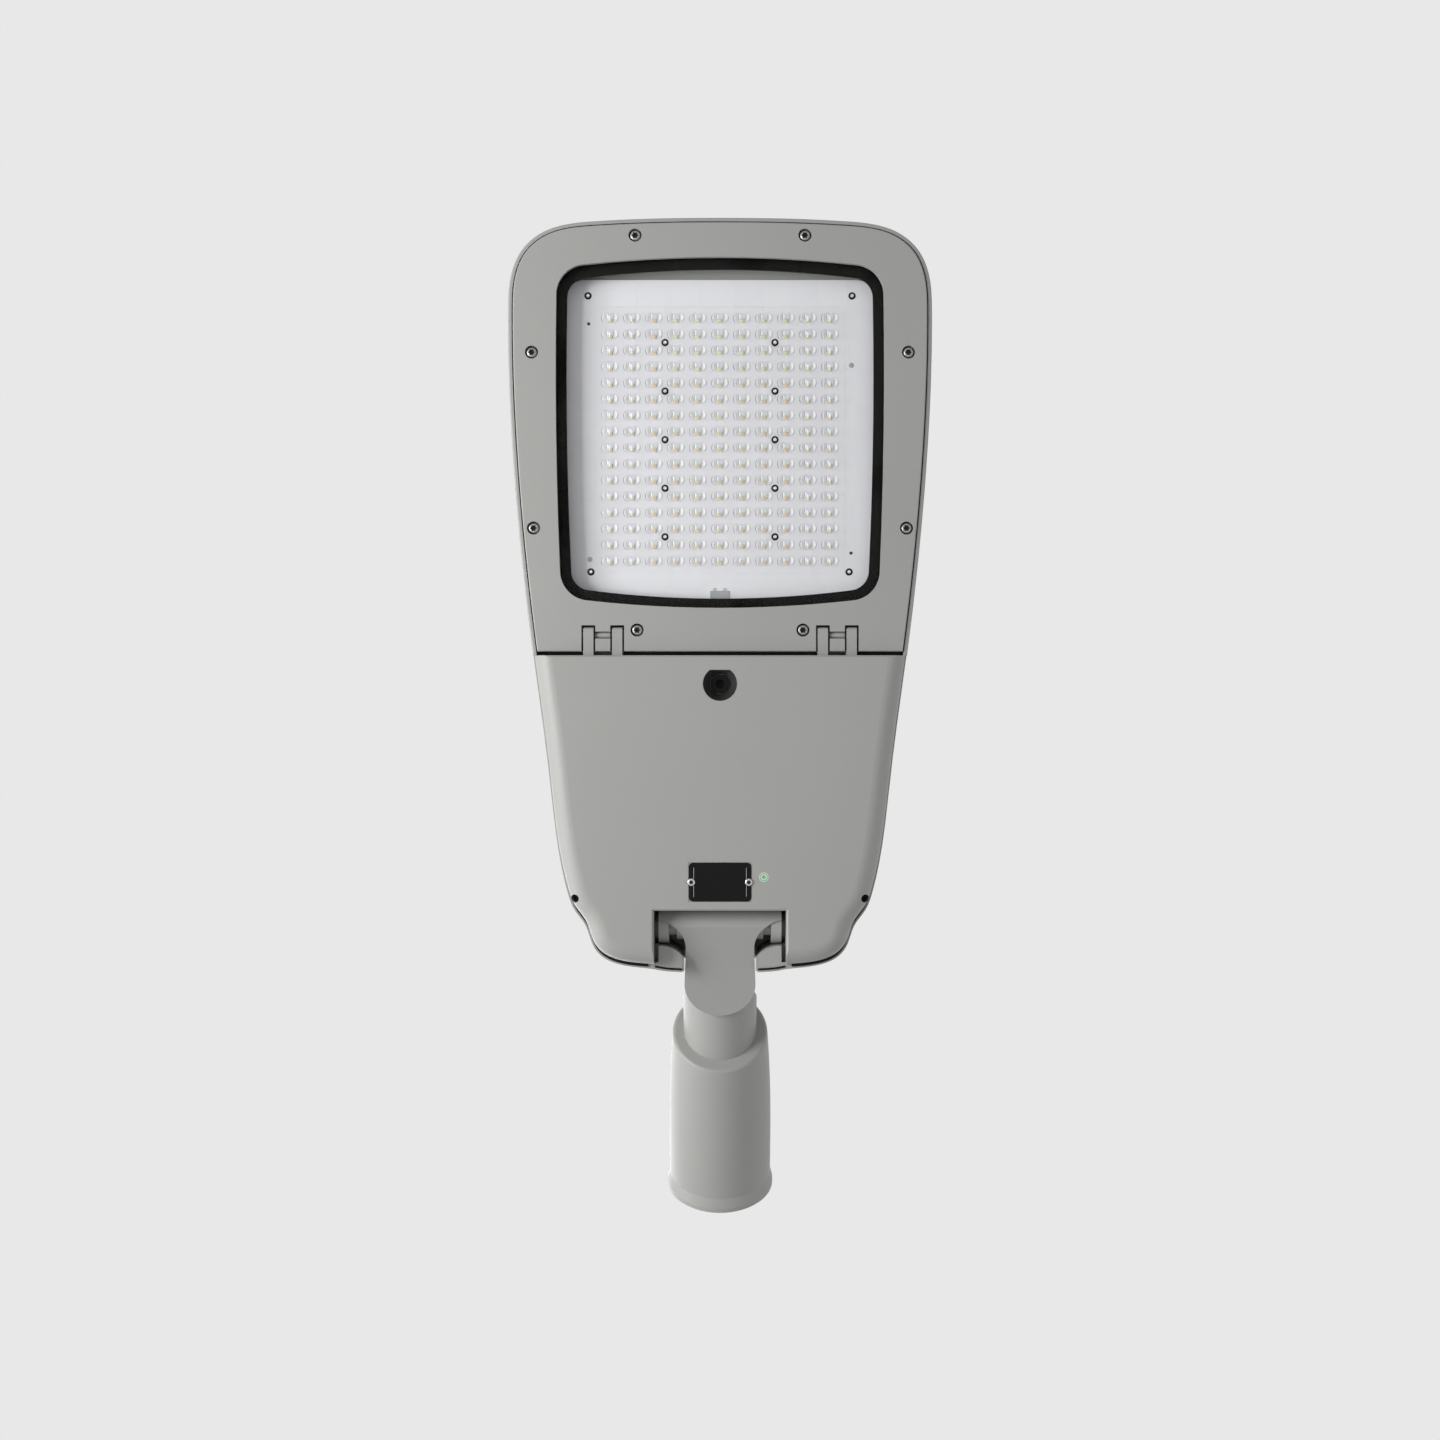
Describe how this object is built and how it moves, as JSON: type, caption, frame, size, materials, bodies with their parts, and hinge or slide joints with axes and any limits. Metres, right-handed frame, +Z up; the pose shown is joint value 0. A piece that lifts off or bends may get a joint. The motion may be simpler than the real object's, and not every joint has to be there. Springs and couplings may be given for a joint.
{
  "type": "led street light head",
  "caption": "Grey cast street light head with a glazed LED window, a hinged gear cover with an inner compartment, and a tilting arm with a pole socket",
  "frame": {"origin": "centre of the pole socket's mouth, on the socket's axis", "axes": "+Z up with the lamp shining down, +Y forward from the pole to the lamp's front, +X across"},
  "size_m": [0.2978, 0.7211, 0.164],
  "materials": {
    "housing": "matte grey powder coat on die-cast aluminium",
    "seal": "matte silicone",
    "screw": "stainless steel",
    "glass": "clear toughened glass",
    "gasket": "black rubber",
    "board": "white solder resist",
    "chip": "yellow phosphor",
    "lens": "clear moulded optics",
    "dark_screw": "blackened steel",
    "plate": "matte black lacquer, blank",
    "tray": "galvanised sheet",
    "driver": "plain aluminium case",
    "terminal": "off-white nylon",
    "surge": "black moulded plastic",
    "gland": "black nylon"
  },
  "bodies": {
    "arm": {"arm": "housing", "clamp_screws": "screw"},
    "head": {"housing": "housing", "frame_seal": "seal", "lens_frame": "housing", "frame_screws": "screw", "glass_pane": "glass", "window_gasket": "gasket", "led_board": "board", "led_chips": "chip", "lens_plate": "lens", "board_screws": "screw", "hinge_pins": "screw", "gear_tray": "tray", "tray_screws": "screw", "led_driver": "driver", "driver_screws": "screw", "terminal_block": "terminal", "surge_protector": "surge", "cable_gland": "gland", "lead_grommet": "seal", "pivot_bolt": "screw", "pivot_nut": "screw", "pivot_washers": "screw", "friction_discs": "dark_screw"},
    "cover": {"gear_cover": "housing", "cover_seal": "seal", "lock_screw": "dark_screw", "cover_screws": "dark_screw", "rating_plate": "plate", "plate_rivets": "screw"}
  },
  "joints": [
    {"name": "arm_tilt", "type": "hinge", "parent": "arm", "child": "head", "pos_m": [0, 0.20903, -0.09524], "axis": [-1, 0, 0], "range_deg": [0, 110]},
    {"name": "cover_hinge", "type": "hinge", "parent": "head", "child": "cover", "pos_m": [0, 0.41483, -0.10974], "axis": [1, 0, 0], "range_deg": [0, 90]}
  ]
}
